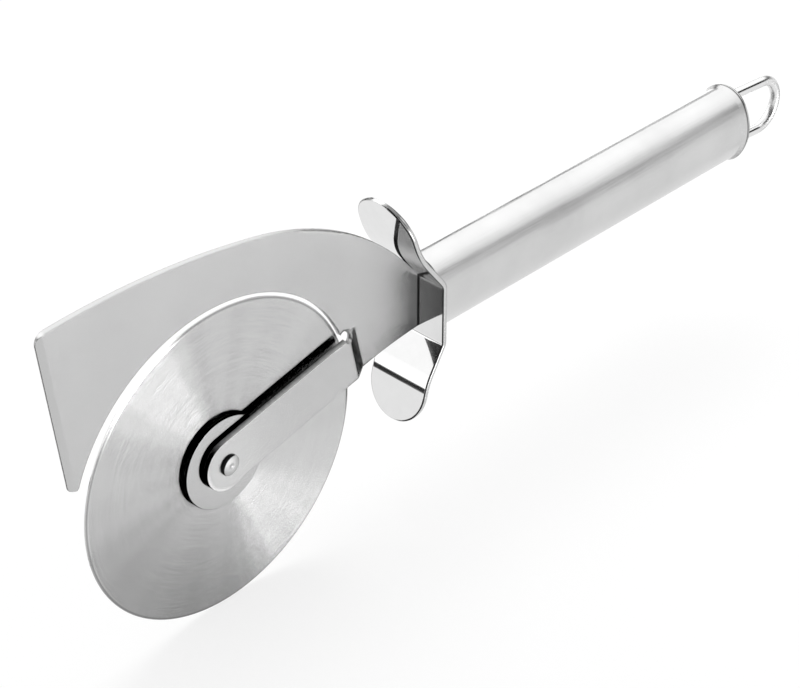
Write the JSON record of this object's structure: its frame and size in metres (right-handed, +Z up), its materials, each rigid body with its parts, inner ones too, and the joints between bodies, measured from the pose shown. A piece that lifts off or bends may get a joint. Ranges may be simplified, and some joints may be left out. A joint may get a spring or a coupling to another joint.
{
  "type": "pizza wheel",
  "caption": "Pizza wheel: bevelled round blade turning on a riveted axle beside a stamped server plate, with a bent finger guard, oval tube handle and wire hanging loop.",
  "frame": {"origin": "centre of the cutting wheel, on its axle and in its middle plane", "axes": "+X runs back along the handle to the hanging loop, +Z is up with the wheel under the server plate, -Y is the side where the plate's arm lies over the wheel"},
  "size_m": [0.2852, 0.02, 0.1093],
  "materials": {
    "wheel_steel": "circular brushed",
    "satin_steel": "satin",
    "tube_steel": "satin, brushed along the tube",
    "polished_steel": "mirror polished",
    "plug_nylon": "moulded"
  },
  "bodies": {
    "handle": {"server_plate": "satin_steel", "finger_guard": "polished_steel", "handle_tube": "tube_steel", "tang_plug": "plug_nylon", "tang_pin": "satin_steel", "end_cap": "tube_steel", "hanging_loop": "polished_steel", "axle_rivet": "polished_steel", "front_washer": "satin_steel", "rear_washer": "satin_steel"},
    "wheel": {"cutting_wheel": "wheel_steel"}
  },
  "joints": [
    {"name": "wheel_spin", "type": "hinge", "parent": "handle", "child": "wheel", "pos_m": [0, 0, 0], "axis": [0, 1, 0], "continuous": true}
  ]
}
